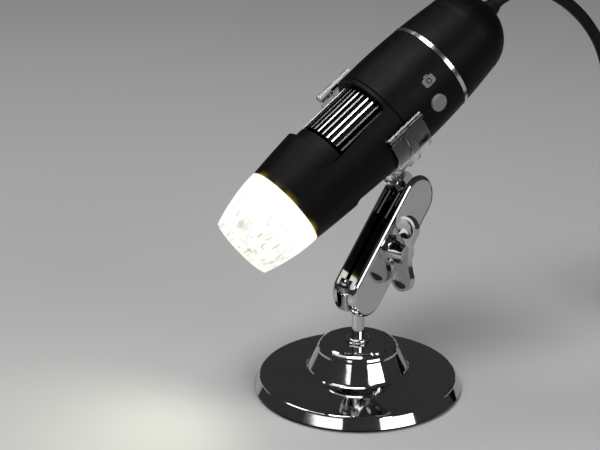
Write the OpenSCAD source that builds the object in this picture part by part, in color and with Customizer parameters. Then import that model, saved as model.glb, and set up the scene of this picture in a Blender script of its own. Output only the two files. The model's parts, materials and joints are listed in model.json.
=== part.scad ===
// Hand-held digital microscope resting in a clip on a chrome stand with a clamp arm.
// Millimetres. Origin on the table under the middle of the base, +Z up, the arm leans toward +X
// and its clamping bolt lies along Y, with the wing nut on the -Y side.

/* [Base] */
// Outside diameter of the base
base_d = 68; // [50:1:100]
// How far the rim wall leans in between its foot and the crease
rim_draft = 1.7; // [0:0.1:5]
// Height of the crease between rim wall and top face
rim_h = 4.8; // [3.5:0.1:8]
// Height of the top face where the hub starts
hub_foot_h = 6.8; // [5:0.1:12]
// Diameter of the hub at its foot
hub_foot_d = 32.4; // [26:0.1:44]
// Diameter of the hub at its top
hub_d = 26.8; // [18:0.1:34]
// Height of the hub top above the table
hub_h = 16.4; // [12:0.1:24]
// Rounding of the hub shoulder
hub_round = 3.4; // [0.5:0.1:4]
// Hollow fillet where the hub meets the top face
hub_fillet = 1.6; // [0.5:0.1:4]
// Rounding of the rim crease
crease_round = 0.9; // [0.3:0.1:2]
// Wall of the pressed base cover
base_wall = 1.8; // [1:0.1:3]
// Thickness of the foam pad under the base
pad_t = 1.2; // [0.6:0.1:3]
// How far the pad stays inside the rim
pad_inset = 1; // [0.3:0.1:1.5]
// Air around the ballast inside the cover
ballast_gap = 0.4; // [0.2:0.1:1]

/* [Post] */
// Diameter of the upright post
post_d = 4.1; // [3:0.1:8]
// Height of the post ball centre above the table
ball_h = 33.8; // [30:0.1:60]
// Diameter of the collar at the foot of the post
collar_d = 6.6; // [5:0.1:12]
// Height of that collar
collar_h = 1; // [0.5:0.1:3]
// Diameter of the threaded foot under the collar
thread_d = 4; // [3:0.1:6]
// Thickness of the washer inside the hub
post_washer_t = 0.8; // [0.5:0.1:2]
// Diameter of the washer inside the hub
post_washer_d = 9; // [7:0.5:14]
// Width across flats of the nut inside the hub
post_nut_af = 7; // [5.5:0.5:10]
// Height of that nut
post_nut_h = 3.2; // [2:0.1:5]
// Diameter of the pins on which the two balls turn
ball_pin_d = 2.8; // [2:0.1:3.4]
// Length of those pins
ball_pin_l = 3.2; // [2:0.1:5]

/* [Clamp arm] */
// Lean of the arm from upright
arm_lean = 42; // [0:1:60]
// Distance between the two ball centres
arm_reach = 35.2; // [28:0.1:80]
// Width of the clamp plates
plate_w = 15.6; // [12:0.1:24]
// Thickness over both plates
arm_t = 10; // [9:0.1:16]
// Gap between the plates
plate_gap = 1.6; // [0.8:0.1:3]
// Rounding of the outer plate edges
plate_round = 1.6; // [0.5:0.1:3]
// Diameter of the clamped balls
ball_d = 7.2; // [6:0.1:9]
// Swing to each side that the lower slot leaves to the post
post_swing = 75; // [45:1:85]
// Swing to each side that the upper slot leaves to the neck
neck_swing = 90; // [45:1:100]
// Air beside post and neck inside the slotted ends
slot_gap = 0.35; // [0.2:0.05:1]
// Diameter of the clamping bolt
bolt_d = 4; // [3:0.1:6]
// Diameter of the bolt head
bolt_head_d = 8.4; // [6:0.1:12]
// Height of the bolt head
bolt_head_h = 2.2; // [1:0.1:4]
// Side of the square neck that stops the bolt from turning
bolt_square = 4.4; // [4.2:0.1:7]
// Length of that square neck
bolt_square_l = 1.8; // [1:0.1:3]
// Diameter of the washer under the wing nut
clamp_washer_d = 9.6; // [7:0.1:14]
// Thickness of that washer
clamp_washer_t = 0.9; // [0.5:0.1:2]

/* [Wing nut] */
// Span over both wings
wing_span = 25; // [18:0.5:40]
// Diameter of the hub at the washer
wing_hub_d = 8.4; // [7:0.1:12]
// Diameter of the hub at its outer end
wing_hub_top_d = 6.6; // [6:0.1:10]
// Height of the closed hub
wing_hub_h = 5; // [4.4:0.1:8]
// Diameter of the round wing lobes
lobe_d = 8.2; // [6:0.1:10]
// Height of the lobe centres above the washer
lobe_h = 4; // [3.8:0.1:7]
// Height of the hollow edge between the lobes
waist_h = 6.1; // [5.6:0.1:7.5]
// Thickness of the wings
wing_t = 2.2; // [1.5:0.1:4]
// Depth of the hollow thumb dish in each wing face
dish_depth = 0.5; // [0.2:0.05:0.7]
// Turn of the wings against the arm
wing_turn = -54; // [-180:1:180]
// How far the bolt reaches into the hub
bolt_reach = 4.2; // [3:0.1:4.4]
// How far the bolt sits below the middle of the arm
bolt_low = 1.1; // [0:0.1:4]

/* [Holder] */
// Distance from the upper ball to the microscope axis
neck_reach = 30.4; // [30:0.1:60]
// Diameter of the holder neck
neck_d = 3.6; // [3:0.1:5]
// Diameter of the boss on the clip
boss_d = 7.6; // [6:0.1:12]
// Length of that boss outside the clip band
boss_l = 3.6; // [3:0.1:8]
// Width of the clip along the microscope
clip_w = 13.8; // [10:0.1:24]
// Thickness of the clip band
clip_t = 1.4; // [1:0.1:4]
// Half of the angle that the clip leaves open
clip_open = 70; // [50:1:85]
// Diameter of the beads along both lips
bead_d = 2.8; // [2:0.1:5]
// Width of the stiffening rib round the clip
rib_w = 3; // [1:0.1:6]
// Height of that rib
rib_h = 0.7; // [0.3:0.1:2]
// Heading of the microscope seen from above, from +X toward +Y
scope_yaw = -14.7; // [-90:0.1:90]
// Rise of the microscope toward its tail
scope_pitch = 34.4; // [-60:0.1:80]
// Turn of the neck round the microscope, from straight down
clip_roll = -1.2; // [-60:0.1:60]
// Turn of the clip opening against the neck
clip_turn = 14.5; // [-40:0.5:40]
// Turn of the microscope in the clip
scope_turn = 4; // [-180:1:180]

/* [Microscope shell] */
// Length of the shell from nose rim to tail
scope_l = 112.1; // [100:0.1:140]
// Largest diameter of the barrel
scope_d = 33; // [30:0.5:40]
// Place of the largest diameter, from the nose rim
belly_z = 67.1; // [63:0.1:80]
// Lengthwise crown radius in front of the belly
crown_front = 490; // [350:5:900]
// Lengthwise crown radius behind the belly
crown_rear = 240; // [200:5:600]
// Length of the clear nose
nose_l = 18.6; // [15:0.1:28]
// Diameter of the nose rim
nose_d = 21.2; // [17:0.1:26]
// Bulge of the nose outline, 1 is straight
nose_bulge = 1.8; // [1:0.1:3]
// Wall of the nose
nose_wall = 1.6; // [1:0.1:2.5]
// Wall of the nose spigot inside the front shell
spigot_wall = 1.2; // [0.8:0.1:1.6]
// Wall of the front shell
shell_wall = 1.6; // [1.2:0.1:2]
// Start of the finger windows
window_z = 35.4; // [32:0.1:44]
// Length of the finger windows
window_l = 23.9; // [20:0.1:25]
// Distance of the windows' near edges from the axis, toward the button
window_edge = 13; // [8:0.1:14]
// Width of the strip between the windows, on the side away from the button
window_strip = 11; // [8:0.1:18]
// Length of the plain step between the front of the windows and the wheel
window_step = 5.2; // [1:0.1:8]
// Corner rounding of the finger windows
window_round = 1.8; // [1:0.1:6]
// Joint between front and rear shell
split_z = 60.7; // [57:0.1:66]
// Chamfer on both sides of the shell joint
seam = 0.25; // [0.1:0.05:0.6]
// Place of the trim ring
trim_z = 83.5; // [81:0.1:95]
// Width of the trim ring
trim_w = 1.3; // [0.8:0.1:3]
// How far the trim ring stands out
trim_proud = 0.15; // [0:0.05:0.5]
// Length of the domed tail end
dome_l = 13.5; // [8:0.5:20]
// Wall of the tail cap and of the rear shell
rear_wall = 2; // [1.4:0.1:3]
// Place of the clip along the microscope
clip_z = 59.1; // [50:0.1:80]
// Place of the holder neck along the microscope
neck_z = 54.1; // [45:0.1:75]

/* [Focus drive] */
// Depth of the wheel's ribs under the barrel's surface, at the middle of the windows
wheel_sink = 2.4; // [1.6:0.05:4]
// Number of ribs
rib_count = 42; // [24:1:72]
// Height of the ribs
rib_depth = 0.7; // [0.3:0.05:1.2]
// Rim thickness of the wheel under the ribs
wheel_rim = 2; // [1:0.1:3]
// Air between wheel and shell all round
wheel_gap = 0.35; // [0.2:0.05:0.8]
// Outside diameter of the guide tube
guide_d = 15; // [13:0.1:17]
// Outside diameter of the lens barrel
barrel_d = 11; // [9:0.1:12.5]
// Wall of the cam sleeve inside the wheel
cam_wall = 2; // [1.2:0.1:3]
// Diameter of the follower pin
pin_d = 1.6; // [1:0.1:2.5]
// Air beside the follower pin in its slots
pin_gap = 0.3; // [0.15:0.05:0.6]
// Travel of the lens barrel over the whole range
lens_travel = 8; // [4:0.5:10]
// Turn of the wheel over the whole range
wheel_turn = 240; // [120:5:300]
// Place of the follower pin at rest
pin_z = 50.1; // [47:0.1:56]
// Front end of the lens barrel at rest
barrel_front = 13.6; // [11:0.1:20]

/* [Optics and boards] */
// Diameter of the objective lens
lens_d = 8.4; // [6:0.1:9]
// Thickness of the lens at its middle
lens_t = 3; // [2:0.1:4]
// Thickness of all circuit boards
board_t = 1.6; // [0.8:0.1:2]
// Number of lamps
led_count = 8; // [4:1:12]
// Diameter of the lamps
led_d = 3; // [2:0.1:3.6]
// Length of the lamps
led_l = 5; // [3:0.1:6]
// Air between the lamps and the bore of the nose
led_room = 0.6; // [0.2:0.1:1]
// Collar of the lamps, all round
led_collar = 0.25; // [0.1:0.05:0.4]
// Side of the image sensor
sensor_w = 7; // [5:0.1:9]
// Height of the image sensor
sensor_h = 1.4; // [0.8:0.1:2]
// Side of the controller chip
chip_w = 9; // [5:0.1:10]
// Height of chips on the boards
chip_h = 1.2; // [0.8:0.1:2]
// Width of the cord socket
socket_w = 9; // [6:0.5:12]
// Depth of the cord socket
socket_d = 4; // [3:0.1:5]
// Height of the cord socket
socket_h = 5; // [3:0.5:8]
// Place of the cord socket, from the edge of its board
socket_inset = 3.3; // [2.5:0.1:5]
// Room between the cord socket and the controller chip
chip_room = 0.6; // [0.3:0.1:2]
// Number of board screws
screw_count = 3; // [2:1:4]
// Diameter of the board screws
screw_d = 1.6; // [1.2:0.1:2]

/* [Snap button] */
// Place of the button along the microscope
button_z = 73.9; // [72:0.1:82]
// Diameter of the button
button_d = 5.6; // [4:0.1:8]
// How far the button stands out
button_proud = 0.7; // [0.5:0.1:2]
// Travel of the button
button_travel = 0.5; // [0.2:0.1:1]
// Air around the button in its hole
button_gap = 0.2; // [0.1:0.05:0.5]
// Side of the snap switch
switch_w = 6; // [4:0.1:8]
// Height of the snap switch
switch_h = 3.2; // [2:0.1:4]
// Diameter of the switch plunger
plunger_d = 3.2; // [2:0.1:3.6]
// Width of the switch board
switch_board_w = 11; // [8:0.5:13]
// Height of the switch board above the button's axis
switch_board_top = 5; // [4:0.5:7]
// Place of the switch board, from the edge of the sensor board
switch_inset = 5.3; // [5:0.1:7]
// Collar that keeps the button in the shell
button_collar = 0.8; // [0.4:0.1:1.2]

/* [Cord and plug] */
// Diameter of the cord
cord_d = 4; // [3:0.1:5]
// Diameter of the cord relief at the tail
relief_d = 6.4; // [5.6:0.1:9]
// Length of that relief outside the tail
relief_l = 3; // [2:0.5:15]
// Turns in each layer of the coil
coil_turns = 1.6; // [1:0.1:3]
// Pitch from turn to turn
coil_pitch = 5.3; // [5:0.1:7]
// Pitch from layer to layer
coil_rise = 4.5; // [4.4:0.1:6]
// Radius of the innermost turn
coil_inner_r = 17.5; // [16:0.5:24]
// Thickness of the tie strap
tie_t = 0.8; // [0.4:0.1:1.5]
// Width of the tie strap
tie_w = 9; // [5:0.5:14]
// Width of the plug grip
grip_w = 15.6; // [14:0.1:18]
// Height of the plug grip
grip_h = 8; // [7:0.1:10]
// Length of the plug grip
grip_l = 25; // [18:0.5:32]
// Width of the plug shell
plug_w = 12; // [11.8:0.1:12.2]
// Height of the plug shell
plug_h = 4.5; // [4.3:0.1:4.7]
// Length of the plug shell outside the grip
plug_l = 14; // [11:0.1:15]
// Sheet of the plug shell
plug_wall = 0.4; // [0.3:0.05:0.5]

/* [Fits] */
// Radial clearance of turning and sliding pairs
run_gap = 0.05; // [0.02:0.01:0.1]
// Radial clearance of pieces put together for good
join_gap = 0.05; // [0.02:0.01:0.2]
// Clearance between clip and microscope
clip_gap = 0.1; // [0.05:0.05:0.3]

/* [Hidden] */
$fn = 72;
eps = 0.01;

// Points of a circular arc
function arc(cx, cy, r, a0, a1, n) =
    [for (i = [0 : n]) let (a = a0 + (a1 - a0) * i / n) [cx + r * cos(a), cy + r * sin(a)]];
function reversed(v) = [for (i = [len(v) - 1 : -1 : 0]) v[i]];
function unit(v) = v / norm(v);

// Base
base_r = base_d / 2;
crease_r = base_r - rim_draft;
hub_r = hub_d / 2;
hub_foot_r = hub_foot_d / 2;
collar_top = hub_h + collar_h;
nut_top = hub_h - base_wall - post_washer_t;
nut_clear_r = post_nut_af / sqrt(3) + 1.2;

// Balls and arm
ball_r = ball_d / 2;
post_r = post_d / 2;
neck_r = neck_d / 2;
ball_pin_r = ball_pin_d / 2;
post_flat = sqrt(ball_r * ball_r - post_r * post_r);
arm_dir = [sin(arm_lean), 0, cos(arm_lean)];
low_ball = [0, 0, ball_h];
top_ball = low_ball + arm_reach * arm_dir;
y_in = plate_gap / 2;
y_out = arm_t / 2;
nut_seat = y_out + clamp_washer_t;
bolt_z = arm_reach / 2 - bolt_low;

// Microscope placing
scope_dir = [cos(scope_pitch) * cos(scope_yaw), cos(scope_pitch) * sin(scope_yaw), sin(scope_pitch)];
down_dir = [sin(scope_pitch) * cos(scope_yaw), sin(scope_pitch) * sin(scope_yaw), -cos(scope_pitch)];
side_dir = [-sin(scope_yaw), cos(scope_yaw), 0];
neck_dir = cos(clip_roll) * down_dir + sin(clip_roll) * side_dir;
neck_cant = abs(neck_dir[1]);
neck_at = top_ball - neck_reach * neck_dir;
tail_at = neck_at + (scope_l + relief_l - neck_z) * scope_dir;

// Shell outline
scope_r = scope_d / 2;
dome_z = scope_l - dome_l;
function barrel_r(z) =
    z < belly_z ? scope_r - pow(belly_z - z, 2) / (2 * crown_front)
                : scope_r - pow(z - belly_z, 2) / (2 * crown_rear);
function shell_r(z) =
    z < dome_z ? barrel_r(z) : barrel_r(dome_z) * sqrt(max(0, 1 - pow((z - dome_z) / dome_l, 2)));
function nose_r(z) = nose_d / 2 + (barrel_r(nose_l) - nose_d / 2) * (1 - pow(1 - z / nose_l, nose_bulge));
function outline(z0, z1, n) = [for (i = [0 : n]) let (z = z0 + (z1 - z0) * i / n) [shell_r(z), z]];
front_bore_r = barrel_r(nose_l) - shell_wall;
spigot_r = front_bore_r - join_gap;
nose_bore_r = spigot_r - spigot_wall;
led_at_r = nose_bore_r - led_room - led_collar - led_d / 2;
shelf_z = nose_l + 8;
shelf_r = front_bore_r - 0.8;
wheel_r = shell_r(window_z + window_l / 2) - wheel_sink;
chamber_r = wheel_r + wheel_gap;
wheel_z = window_z + window_step;
chamber_z = wheel_z - 1.2;
wheel_l = window_l - window_step - 0.5;
plug_in_z = wheel_z + wheel_l + wheel_gap;
guide_r = guide_d / 2;
guide_flange_z = shelf_z - 1.6;
lamp_board_z = guide_flange_z - board_t;
barrel_r0 = barrel_d / 2;
guide_end = split_z + 0.3;
ledge_z = guide_end + 3.2;
rear_bore_r = barrel_r(trim_z) - rear_wall;
ledge_r = rear_bore_r - 2.8;
board_r = rear_bore_r - join_gap;
board_back = ledge_z + board_t;
socket_y = board_r - socket_inset - socket_d;
cam_r = guide_r + run_gap;
pin_out_r = cam_r + cam_wall - 0.3;
lead = lens_travel / wheel_turn;
cam_half = pin_d / 2 + pin_gap + 0.1;
spigot_l = 2.6;
lens_front = barrel_front + 2;
lens_cap = 0.4 * lens_t;
lens_curve_r = (lens_d * lens_d / 4 + lens_cap * lens_cap) / (2 * lens_cap);
retainer_r = lens_d / 2 - 1;
retainer_t = 1.4;
tail_inside = scope_l - rear_wall - 1;
relief_collar_r = relief_d / 2 + 1.2;

// Snap switch
switch_board_y = switch_inset - board_r;
switch_face = switch_board_y - switch_h;
collar_r = button_d / 2 + 0.6;
button_in = -(sqrt(rear_bore_r * rear_bore_r - collar_r * collar_r) - button_collar - 0.1);

// Holder
clip_in_r = scope_r + clip_gap;
clip_out_r = clip_in_r + clip_t;
boss_end = clip_out_r + boss_l;
bead_at = clip_in_r + bead_d / 2 + 0.1;

// Cord route: points in millimetres, chosen by hand from the photograph
cord_r = cord_d / 2;
contact_out = 3.5;
contact_mid = 1;
contact_w = 1;
coil_layers = 4;
coil_at = [129, -49.5];
coil_start = 80;
coil_z = cord_r + tie_t + 0.2;
route_middle = [
    [62.5, -9.5, 122.4],
    [68, -11, 123],
    [74, -12.5, 122.2],
    [80, -14, 119.6],
    [87, -16, 115],
    [94, -18, 108.5],
    [100.5, -19.5, 100],
    [105, -20.5, 90],
    [108.5, -21.5, 78],
    [111, -22.5, 64],
    [112, -23, 50],
    [112, -23, 36],
    [112, -23, 23],
    [113, -22.5, 13],
    [116, -22, 7.5],
    [121, -22, 4],
];

// Coil: layers from the table up, each spiral in or out, then half a turn to the layer above
layer_turn = coil_turns + 0.5;
coil_total = coil_layers * coil_turns + (coil_layers - 1) * 0.5;
coil_outer_r = coil_inner_r + coil_turns * coil_pitch;
function coil_layer(t) = min(coil_layers - 1, floor(t / layer_turn));
function coil_in_layer(t) = min(coil_turns, t - coil_layer(t) * layer_turn);
function coil_r(t) =
    coil_layer(t) % 2 == 0 ? coil_outer_r - coil_pitch * coil_in_layer(t)
                           : coil_inner_r + coil_pitch * coil_in_layer(t);
function coil_climb(t) = coil_layer(t) + max(0, t - coil_layer(t) * layer_turn - coil_turns) * 2;
function coil_h(t) = coil_z + coil_rise * coil_climb(t);
function coil_point(t) = [
    coil_at[0] + coil_r(t) * cos(coil_start - 360 * t),
    coil_at[1] + coil_r(t) * sin(coil_start - 360 * t),
    coil_h(t)
];
coil_steps = round(coil_total * 24);
coil_inner = [for (i = [0 : coil_steps]) coil_point(coil_total * i / coil_steps)];
start_dir = unit([sin(coil_start), -cos(coil_start), 0]);
end_angle = coil_start - 360 * coil_total;
end_dir = unit([sin(end_angle), -cos(end_angle), 0]);
coil_first = coil_inner[0] - 1.2 * cord_d * start_dir;
coil_last = coil_inner[coil_steps];

// Lead over the top of the coil: a quarter turn inward while it climbs onto the coil, where the plug lies
lead_r = 14;
lead_steps = 8;
end_out = [cos(end_angle), sin(end_angle), 0];
plug_rise = cord_r + grip_h / 2 + 0.1;
lead_out = [for (i = [1 : lead_steps]) let (a = 90 * i / lead_steps)
    coil_last + lead_r * ((cos(a) - 1) * end_out + sin(a) * end_dir)
        + [0, 0, plug_rise * (1 - cos(2 * a)) / 2]];
plug_at = lead_out[lead_steps - 1] - 1.2 * cord_d * end_out;
coil_path = concat([coil_first], coil_inner, lead_out, [plug_at]);

// Least distance between points of the coil more than half a turn apart, less the cord
coil_gap = min([for (i = [0 : 3 : len(coil_path) - 1]) for (k = [i + 12 : 1 : len(coil_path) - 1])
    norm(coil_path[i] - coil_path[k])]) - cord_d;
echo(coil_gap = coil_gap);

// Free stretch: smooth curve through the route, square to the relief and to the coil at its ends
free_start = tail_at + cord_r * scope_dir;
free_end = coil_first - cord_r * start_dir;
route = concat([free_start], route_middle, [free_end]);
route_ends = concat([free_start - cord_d * scope_dir], route, [free_end + 2 * cord_d * start_dir]);
function spline(a, b, c, d, t) = 0.5 * ((2 * b) + (c - a) * t + (2 * a - 5 * b + 4 * c - d) * t * t
    + (3 * b - a - 3 * c + d) * t * t * t);
free_path = concat(
    [tail_at],
    [for (i = [1 : len(route_ends) - 3]) for (t = [0 : 0.5 : 0.9])
        spline(route_ends[i - 1], route_ends[i], route_ends[i + 1], route_ends[i + 2], t)],
    [free_end, coil_first]);

// Length of a line of points
function path_length(p, i = 0) = i >= len(p) - 1 ? 0 : norm(p[i + 1] - p[i]) + path_length(p, i + 1);
echo(free_length = path_length(free_path));
echo(coil_length = path_length(coil_path));

// Frames carried along a line without twist
function tangent(p, i) =
    i == 0 ? unit(p[1] - p[0])
           : i == len(p) - 1 ? unit(p[i] - p[i - 1]) : unit(unit(p[i + 1] - p[i]) + unit(p[i] - p[i - 1]));
function square_to(v, t) = unit(v - (v * t) * t);
function side_of(t) = square_to(abs(t[2]) < 0.8 ? [0, 0, 1] : [1, 0, 0], t);
function carry(p, i, v) =
    i >= len(p) ? [] : let (n = square_to(v, tangent(p, i))) concat([n], carry(p, i + 1, n));

// Tube along a line of points
module tube(p, r, sides) {
    n = carry(p, 0, side_of(tangent(p, 0)));
    rings = len(p);
    pts = [for (i = [0 : rings - 1]) let (t = tangent(p, i), b = cross(t, n[i]))
        for (k = [0 : sides - 1]) p[i] + r * (cos(360 * k / sides) * n[i] + sin(360 * k / sides) * b)];
    walls = [for (i = [0 : rings - 2]) for (k = [0 : sides - 1]) let (m = (k + 1) % sides)
        for (f = [[i * sides + k, (i + 1) * sides + k, i * sides + m],
                  [i * sides + m, (i + 1) * sides + k, (i + 1) * sides + m]]) f];
    first = [for (k = [0 : sides - 1]) k];
    last = [for (k = [sides - 1 : -1 : 0]) (rings - 1) * sides + k];
    polyhedron(points = pts, faces = concat(walls, [first, last]), convexity = 8);
}

module arm_frame() {
    translate(low_ball) rotate([0, arm_lean, 0]) children();
}

module bolt_frame() {
    arm_frame() translate([0, 0, bolt_z]) rotate([90, 0, 0]) children();
}

// Z along the microscope toward its tail, X toward the upper ball
module holder_frame() {
    translate(neck_at) rotate([0, 90 - scope_pitch, scope_yaw]) rotate([0, 0, clip_roll]) children();
}

// Z from the nose rim toward the tail, windows on +X and -X, button on -Y
module scope_frame() {
    holder_frame() rotate([0, 0, scope_turn]) translate([0, 0, -neck_z]) children();
}

module turned(points) {
    rotate_extrude() polygon(points);
}

// Base: drafted rim, shallow top, hub with rounded shoulder
module base_cover() {
    outer = concat(
        arc(hub_r - hub_round, hub_h - hub_round, hub_round, 90, 10, 7),
        arc(hub_foot_r + hub_fillet, hub_foot_h + hub_fillet, hub_fillet, 195, 268, 5),
        arc(crease_r - crease_round, rim_h - crease_round, crease_round, 86, 15, 4),
        [[base_r, pad_t]]);
    inner = [
        [base_r - base_wall, pad_t],
        [crease_r - base_wall, rim_h - base_wall],
        [hub_foot_r - base_wall, hub_foot_h - base_wall],
        [hub_r - base_wall, hub_h - base_wall],
        [thread_d / 2 + join_gap, hub_h - base_wall],
        [thread_d / 2 + join_gap, hub_h]];
    color("silver") turned(concat(outer, inner));
}

module base_ballast() {
    color("dimgray") turned([
        [nut_clear_r, pad_t],
        [crease_r - base_wall - ballast_gap, pad_t],
        [crease_r - base_wall - ballast_gap, rim_h - base_wall - ballast_gap],
        [hub_foot_r - base_wall - ballast_gap, hub_foot_h - base_wall - ballast_gap],
        [nut_clear_r, hub_foot_h - base_wall - ballast_gap]]);
}

module base_pad() {
    color("black") cylinder(r = base_r - pad_inset, h = pad_t);
}

module base_post() {
    color("silver") union() {
        translate([0, 0, nut_top - post_nut_h - 1])
            cylinder(d = thread_d, h = hub_h - nut_top + post_nut_h + 1);
        translate([0, 0, hub_h]) cylinder(d = collar_d, h = collar_h);
        translate([0, 0, hub_h]) cylinder(r = post_r, h = ball_h - post_flat - hub_h);
        translate([0, 0, hub_h]) cylinder(r = ball_pin_r, h = ball_h - post_flat - hub_h + ball_pin_l);
    }
}

module post_washer() {
    color("silver") translate([0, 0, nut_top]) difference() {
        cylinder(d = post_washer_d, h = post_washer_t);
        translate([0, 0, -1]) cylinder(r = thread_d / 2 + join_gap, h = post_washer_t + 2);
    }
}

module post_nut() {
    color("silver") translate([0, 0, nut_top - post_nut_h]) difference() {
        cylinder(d = post_nut_af * 2 / sqrt(3), h = post_nut_h, $fn = 6);
        translate([0, 0, -1]) cylinder(r = thread_d / 2 + join_gap, h = post_nut_h + 2);
    }
}

// Ball on the post, flat underneath with a bore for the post pin
module post_ball() {
    color("silver") translate(low_ball) difference() {
        sphere(r = ball_r);
        translate([-ball_r, -ball_r, -2 * ball_r - post_flat]) cube(2 * ball_r);
        translate([0, 0, -ball_r])
            cylinder(r = ball_pin_r + run_gap, h = ball_r - post_flat + ball_pin_l + 0.3);
    }
}

// Slot in a plate end for a stem of radius r that swings to both sides and leans out of the plate plane
module swing_slot(r, swing, lean) {
    s = r + slot_gap;
    far = 2 * plate_w;
    wedge = [[0, -s], [far, -s - far * lean], [far, s + far * lean], [0, s]];
    rotate([-90, 0, 0]) {
        rotate([0, 0, -90 - swing]) rotate_extrude(angle = 2 * swing) polygon(wedge);
        for (side = [-1, 1]) rotate([0, 0, -90 + side * swing]) rotate([90, 0, 0])
            linear_extrude(height = 2 * s, center = true) polygon(wedge);
    }
}

// One clamp plate on the +Y side: round ended, with two sockets and two slotted ends
module clamp_plate() {
    half = concat([[0, y_in], [plate_w / 2, y_in]],
        arc(plate_w / 2 - plate_round, y_out - plate_round, plate_round, 0, 90, 6), [[0, y_out]]);
    mirrored = [for (p = reversed(half)) [-p[0], p[1]]];
    difference() {
        union() {
            for (z = [0, arm_reach])
                translate([0, 0, z]) rotate([-90, 0, 0]) turned(half);
            linear_extrude(height = arm_reach) polygon(concat(half, mirrored));
        }
        for (z = [0, arm_reach])
            translate([0, 0, z]) sphere(r = ball_r + run_gap);
        rotate([180, 0, 0]) swing_slot(post_r, post_swing, 0);
        translate([0, 0, arm_reach]) swing_slot(neck_r, neck_swing, neck_cant);
        translate([0, 0, bolt_z]) rotate([-90, 0, 0]) cylinder(d = bolt_d + 2 * join_gap, h = arm_t);
    }
}

module clamp_plate_front() {
    color("silver") arm_frame() mirror([0, 1, 0]) clamp_plate();
}

module clamp_plate_rear() {
    side = bolt_square + 2 * join_gap;
    color("silver") arm_frame() difference() {
        clamp_plate();
        translate([-side / 2, y_out - bolt_square_l - join_gap, bolt_z - side / 2])
            cube([side, bolt_square_l + 1, side]);
    }
}

// Bolt with a low round head and a square neck; Z of its frame points out of the wing nut
module clamp_bolt() {
    color("silver") bolt_frame() union() {
        translate([0, 0, -y_out - bolt_head_h]) turned(concat(
            [[0, bolt_head_h], [bolt_head_d / 2, bolt_head_h]],
            arc(bolt_head_d / 2 - 1.4, 1.4, 1.4, 0, -90, 5), [[0, 0]]));
        translate([-bolt_square / 2, -bolt_square / 2, -y_out - eps])
            cube([bolt_square, bolt_square, bolt_square_l + eps]);
        translate([0, 0, -y_out - eps])
            cylinder(d = bolt_d, h = y_out + nut_seat + bolt_reach + eps);
    }
}

module clamp_washer() {
    color("silver") bolt_frame() translate([0, 0, y_out]) difference() {
        cylinder(d = clamp_washer_d, h = clamp_washer_t);
        translate([0, 0, -1]) cylinder(d = bolt_d + 2 * join_gap, h = clamp_washer_t + 2);
    }
}

// Wing outline: two round lobes joined by a waist whose outer edge is an arc tangent to both
module wing_outline() {
    lobe_r = lobe_d / 2;
    lobe_x = wing_span / 2 - lobe_r;
    rise = waist_h - lobe_h;
    waist_r = (lobe_x * lobe_x + rise * rise - lobe_r * lobe_r) / (2 * (lobe_r - rise));
    waist_y = waist_h + waist_r;
    share = waist_r / (waist_r + lobe_r);
    touch = [lobe_x * share, waist_y - (waist_y - lobe_h) * share];
    foot = [wing_hub_d / 2 - 0.4, 1];
    lobe_low = [lobe_x, lobe_h - 0.8 * lobe_r];
    for (side = [-1, 1]) translate([side * lobe_x, lobe_h]) circle(r = lobe_r);
    difference() {
        polygon([touch, [lobe_x, lobe_h], lobe_low, foot, [-foot[0], foot[1]], [-lobe_low[0], lobe_low[1]],
            [-lobe_x, lobe_h], [-touch[0], touch[1]]]);
        translate([0, waist_y]) circle(r = waist_r);
    }
}

// Wing nut: closed tapered hub and two dished paddles
module wing_nut() {
    lobe_r = lobe_d / 2;
    lobe_x = wing_span / 2 - lobe_r;
    dish_r = (lobe_r * lobe_r * 0.6 + dish_depth * dish_depth) / (2 * dish_depth);
    color("silver") bolt_frame() translate([0, 0, nut_seat]) rotate([0, 0, wing_turn]) difference() {
        union() {
            cylinder(d1 = wing_hub_d, d2 = wing_hub_top_d, h = wing_hub_h);
            rotate([90, 0, 0]) linear_extrude(height = wing_t, center = true) wing_outline();
        }
        for (x = [-lobe_x, lobe_x]) for (side = [-1, 1])
            translate([x, side * (wing_t / 2 + dish_r - dish_depth), lobe_h]) sphere(r = dish_r);
        translate([0, 0, -1]) cylinder(d = bolt_d + 2 * run_gap, h = bolt_reach + 1.2);
    }
}

// Upper ball with its neck and the pin on which the clip swivels
module holder_ball() {
    color("lightgray") holder_frame() rotate([0, 90, 0]) union() {
        translate([0, 0, neck_reach]) sphere(r = ball_r);
        translate([0, 0, boss_end]) cylinder(r = neck_r, h = neck_reach - boss_end);
        translate([0, 0, boss_end - ball_pin_l])
            cylinder(r = ball_pin_r, h = neck_reach - boss_end + ball_pin_l);
    }
}

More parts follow.
